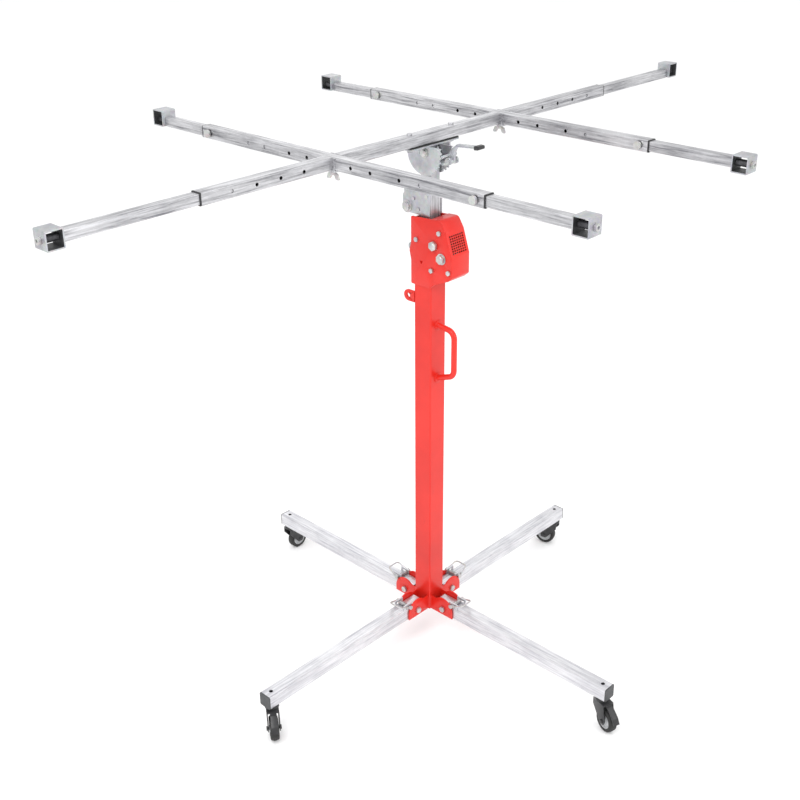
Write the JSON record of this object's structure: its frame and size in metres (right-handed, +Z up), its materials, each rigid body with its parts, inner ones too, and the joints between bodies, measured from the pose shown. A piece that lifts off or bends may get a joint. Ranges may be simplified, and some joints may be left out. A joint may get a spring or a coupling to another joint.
{
  "type": "drywall lift",
  "caption": "Rolling panel hoist: folding cross stand on swivel casters, winch-driven three-stage mast and a tilting telescopic cradle with turning end stops.",
  "frame": {"origin": "on the floor, on the mast's axis", "axes": "+Z up the mast; +X along the main cradle beam; the cross-beams and the carry handle side lie along Y, the handle facing -Y"},
  "size_m": [2.2558, 1.4293, 1.552],
  "materials": {
    "red_paint": "gloss",
    "tube_metal": "brushed",
    "galvanised": "satin",
    "zinc": "satin",
    "black_plastic": "satin",
    "rubber": "matte",
    "wheel": "satin",
    "nylon": "matte",
    "cast": "satin",
    "rope": "twisted",
    "black_metal": "satin"
  },
  "bodies": {
    "stand": {"outer_mast": "red_paint", "outer_glides": "nylon", "leg_brackets": "red_paint", "leg_pivot_bolts": "zinc", "carry_handle": "red_paint", "mast_lug": "red_paint", "winch_plate_near": "red_paint", "winch_plate_far": "red_paint", "winch_bolts": "zinc", "winch_guard": "red_paint"},
    "middle_stage": {"middle_mast": "tube_metal", "middle_glides": "nylon"},
    "inner_stage": {"inner_mast": "tube_metal", "head_bracket": "galvanised", "fold_bolts": "zinc"},
    "drum": {"rope_drum": "cast", "drum_gear": "cast", "hoist_rope": "rope"},
    "crank": {"pinion_shaft": "zinc", "crank_arm": "galvanised"},
    "grip": {"crank_grip": "black_plastic"},
    "pawl": {"ratchet_pawl": "cast"},
    "head": {"head_column": "galvanised", "tilt_bolts": "zinc"},
    "cradle": {"tilt_quadrants": "galvanised", "cradle_pad": "rubber", "main_beam": "tube_metal"},
    "lever": {"tilt_lever": "galvanised"},
    "cross_near": {"cross_beam_near": "tube_metal"},
    "wing_near": {"wing_bolt_near": "zinc"},
    "cross_far": {"cross_beam_far": "tube_metal"},
    "wing_far": {"wing_bolt_far": "zinc"},
    "arm_main_near": {"arm_main_near": "tube_metal"},
    "stop_main_near": {"stop_main_near": "galvanised"},
    "arm_main_far": {"arm_main_far": "tube_metal"},
    "stop_main_far": {"stop_main_far": "galvanised"},
    "arm_near_front": {"arm_near_front": "tube_metal"},
    "stop_near_front": {"stop_near_front": "galvanised"},
    "arm_near_rear": {"arm_near_rear": "tube_metal"},
    "stop_near_rear": {"stop_near_rear": "galvanised"},
    "arm_far_front": {"arm_far_front": "tube_metal"},
    "stop_far_front": {"stop_far_front": "galvanised"},
    "arm_far_rear": {"arm_far_rear": "tube_metal"},
    "stop_far_rear": {"stop_far_rear": "galvanised"},
    "front_left_leg": {"front_left_leg": "tube_metal"},
    "front_left_latch": {"front_left_latch": "zinc"},
    "front_left_fork": {"front_left_caster_fork": "black_metal"},
    "front_left_wheel": {"front_left_caster_wheel": "wheel"},
    "front_right_leg": {"front_right_leg": "tube_metal"},
    "front_right_latch": {"front_right_latch": "zinc"},
    "front_right_fork": {"front_right_caster_fork": "black_metal"},
    "front_right_wheel": {"front_right_caster_wheel": "wheel"},
    "rear_left_leg": {"rear_left_leg": "tube_metal"},
    "rear_left_latch": {"rear_left_latch": "zinc"},
    "rear_left_fork": {"rear_left_caster_fork": "black_metal"},
    "rear_left_wheel": {"rear_left_caster_wheel": "wheel"},
    "rear_right_leg": {"rear_right_leg": "tube_metal"},
    "rear_right_latch": {"rear_right_latch": "zinc"},
    "rear_right_fork": {"rear_right_caster_fork": "black_metal"},
    "rear_right_wheel": {"rear_right_caster_wheel": "wheel"}
  },
  "joints": [
    {"name": "mast_lift", "type": "slide", "parent": "stand", "child": "middle_stage", "axis": [0, 0, 1], "range_m": [0, 0.95]},
    {"name": "mast_extend", "type": "slide", "parent": "middle_stage", "child": "inner_stage", "axis": [0, 0, 1], "range_m": [0, 0.95]},
    {"name": "drum_spin", "type": "hinge", "parent": "stand", "child": "drum", "pos_m": [0, -0.069, 1.217], "axis": [1, 0, 0], "range_deg": [0, 4536.92]},
    {"name": "crank_spin", "type": "hinge", "parent": "stand", "child": "crank", "pos_m": [0, -0.043, 1.24773], "axis": [1, 0, 0], "range_deg": [-12852.76, 0]},
    {"name": "grip_spin", "type": "hinge", "parent": "crank", "child": "grip", "pos_m": [0.1, 0.10735, 1.193], "axis": [1, 0, 0], "continuous": true},
    {"name": "pawl_lift", "type": "hinge", "parent": "stand", "child": "pawl", "pos_m": [-0.024, -0.062, 1.285], "axis": [-1, 0, 0], "range_deg": [0, 25]},
    {"name": "head_fold", "type": "hinge", "parent": "inner_stage", "child": "head", "pos_m": [0, 0.06, 1.331], "axis": [1, 0, 0], "range_deg": [-90, 0]},
    {"name": "cradle_tilt", "type": "hinge", "parent": "head", "child": "cradle", "pos_m": [0, 0, 1.482], "axis": [-1, 0, 0], "range_deg": [-10, 60]},
    {"name": "lever_press", "type": "hinge", "parent": "head", "child": "lever", "pos_m": [0, -0.072, 1.47], "axis": [1, 0, 0], "range_deg": [0, 25], "stiffness_Nm_per_rad": 2, "springref_deg": -20.05},
    {"name": "cross_near_lift_out", "type": "slide", "parent": "cradle", "child": "cross_near", "axis": [0, 0, 1], "range_m": [0, 0.15]},
    {"name": "wing_near_turn", "type": "hinge", "parent": "cradle", "child": "wing_near", "pos_m": [-0.341, 0, 1.5], "axis": [0, 0, 1], "range_deg": [0, 720]},
    {"name": "cross_far_lift_out", "type": "slide", "parent": "cradle", "child": "cross_far", "axis": [0, 0, 1], "range_m": [0, 0.15]},
    {"name": "wing_far_turn", "type": "hinge", "parent": "cradle", "child": "wing_far", "pos_m": [0.277, 0, 1.5], "axis": [0, 0, 1], "range_deg": [0, 720]},
    {"name": "arm_main_near_slide", "type": "slide", "parent": "cradle", "child": "arm_main_near", "axis": [-1, 0, 0], "range_m": [-0.21, 0]},
    {"name": "stop_main_near_turn", "type": "hinge", "parent": "arm_main_near", "child": "stop_main_near", "pos_m": [-1.092, 0, 1.522], "axis": [-1, 0, 0], "range_deg": [0, 180]},
    {"name": "arm_main_far_slide", "type": "slide", "parent": "cradle", "child": "arm_main_far", "axis": [1, 0, 0], "range_m": [-0.21, 0]},
    {"name": "stop_main_far_turn", "type": "hinge", "parent": "arm_main_far", "child": "stop_main_far", "pos_m": [1.105, 0, 1.522], "axis": [1, 0, 0], "range_deg": [0, 180]},
    {"name": "arm_near_front_slide", "type": "slide", "parent": "cross_near", "child": "arm_near_front", "axis": [0, -1, 0], "range_m": [-0.213, 0]},
    {"name": "stop_near_front_turn", "type": "hinge", "parent": "arm_near_front", "child": "stop_near_front", "pos_m": [-0.341, -0.717, 1.522], "axis": [0, -1, 0], "range_deg": [0, 180]},
    {"name": "arm_near_rear_slide", "type": "slide", "parent": "cross_near", "child": "arm_near_rear", "axis": [0, 1, 0], "range_m": [-0.152, 0.061]},
    {"name": "stop_near_rear_turn", "type": "hinge", "parent": "arm_near_rear", "child": "stop_near_rear", "pos_m": [-0.341, 0.6535, 1.522], "axis": [0, 1, 0], "range_deg": [0, 180]},
    {"name": "arm_far_front_slide", "type": "slide", "parent": "cross_far", "child": "arm_far_front", "axis": [0, -1, 0], "range_m": [-0.213, 0]},
    {"name": "stop_far_front_turn", "type": "hinge", "parent": "arm_far_front", "child": "stop_far_front", "pos_m": [0.277, -0.717, 1.522], "axis": [0, -1, 0], "range_deg": [0, 180]},
    {"name": "arm_far_rear_slide", "type": "slide", "parent": "cross_far", "child": "arm_far_rear", "axis": [0, 1, 0], "range_m": [-0.152, 0.061]},
    {"name": "stop_far_rear_turn", "type": "hinge", "parent": "arm_far_rear", "child": "stop_far_rear", "pos_m": [0.277, 0.6535, 1.522], "axis": [0, 1, 0], "range_deg": [0, 180]},
    {"name": "front_left_fold", "type": "hinge", "parent": "stand", "child": "front_left_leg", "pos_m": [-0.077, 0, 0.115], "axis": [0, 1, 0], "range_deg": [0, 90]},
    {"name": "front_left_latch_pull", "type": "slide", "parent": "front_left_leg", "child": "front_left_latch", "axis": [-1, 0, 0], "range_m": [0, 0.008], "stiffness_N_per_m": 400, "springref_m": -0.01},
    {"name": "front_left_swivel", "type": "hinge", "parent": "front_left_leg", "child": "front_left_fork", "pos_m": [-0.632, 0, 0.09], "axis": [0, 0, 1], "continuous": true},
    {"name": "front_left_roll", "type": "hinge", "parent": "front_left_fork", "child": "front_left_wheel", "pos_m": [-0.64806, -0.02294, 0.034], "axis": [0.8192, -0.5736, 0], "continuous": true},
    {"name": "front_right_fold", "type": "hinge", "parent": "stand", "child": "front_right_leg", "pos_m": [0, -0.077, 0.115], "axis": [-1, 0, 0], "range_deg": [0, 90]},
    {"name": "front_right_latch_pull", "type": "slide", "parent": "front_right_leg", "child": "front_right_latch", "axis": [0, -1, 0], "range_m": [0, 0.008], "stiffness_N_per_m": 400, "springref_m": -0.01},
    {"name": "front_right_swivel", "type": "hinge", "parent": "front_right_leg", "child": "front_right_fork", "pos_m": [0, -0.632, 0.09], "axis": [0, 0, 1], "continuous": true},
    {"name": "front_right_roll", "type": "hinge", "parent": "front_right_fork", "child": "front_right_wheel", "pos_m": [-0.00958, -0.65831, 0.034], "axis": [0.9397, -0.342, 0], "continuous": true},
    {"name": "rear_left_fold", "type": "hinge", "parent": "stand", "child": "rear_left_leg", "pos_m": [0, 0.077, 0.115], "axis": [1, 0, 0], "range_deg": [0, 90]},
    {"name": "rear_left_latch_pull", "type": "slide", "parent": "rear_left_leg", "child": "rear_left_latch", "axis": [0, 1, 0], "range_m": [0, 0.008], "stiffness_N_per_m": 400, "springref_m": -0.01},
    {"name": "rear_left_swivel", "type": "hinge", "parent": "rear_left_leg", "child": "rear_left_fork", "pos_m": [0, 0.632, 0.09], "axis": [0, 0, 1], "continuous": true},
    {"name": "rear_left_roll", "type": "hinge", "parent": "rear_left_fork", "child": "rear_left_wheel", "pos_m": [0.028, 0.632, 0.034], "axis": [0, 1, 0], "continuous": true},
    {"name": "rear_right_fold", "type": "hinge", "parent": "stand", "child": "rear_right_leg", "pos_m": [0.077, 0, 0.115], "axis": [0, -1, 0], "range_deg": [0, 90]},
    {"name": "rear_right_latch_pull", "type": "slide", "parent": "rear_right_leg", "child": "rear_right_latch", "axis": [1, 0, 0], "range_m": [0, 0.008], "stiffness_N_per_m": 400, "springref_m": -0.01},
    {"name": "rear_right_swivel", "type": "hinge", "parent": "rear_right_leg", "child": "rear_right_fork", "pos_m": [0.632, 0, 0.09], "axis": [0, 0, 1], "continuous": true},
    {"name": "rear_right_roll", "type": "hinge", "parent": "rear_right_fork", "child": "rear_right_wheel", "pos_m": [0.62475, 0.02705, 0.034], "axis": [-0.9659, -0.2588, 0], "continuous": true}
  ],
  "couplings": [
    {"joint": "mast_extend", "follows": "mast_lift", "ratio": 1},
    {"joint": "drum_spin", "follows": "mast_lift", "rad_per_m": 83.333},
    {"joint": "crank_spin", "follows": "mast_lift", "rad_per_m": -236.11}
  ]
}
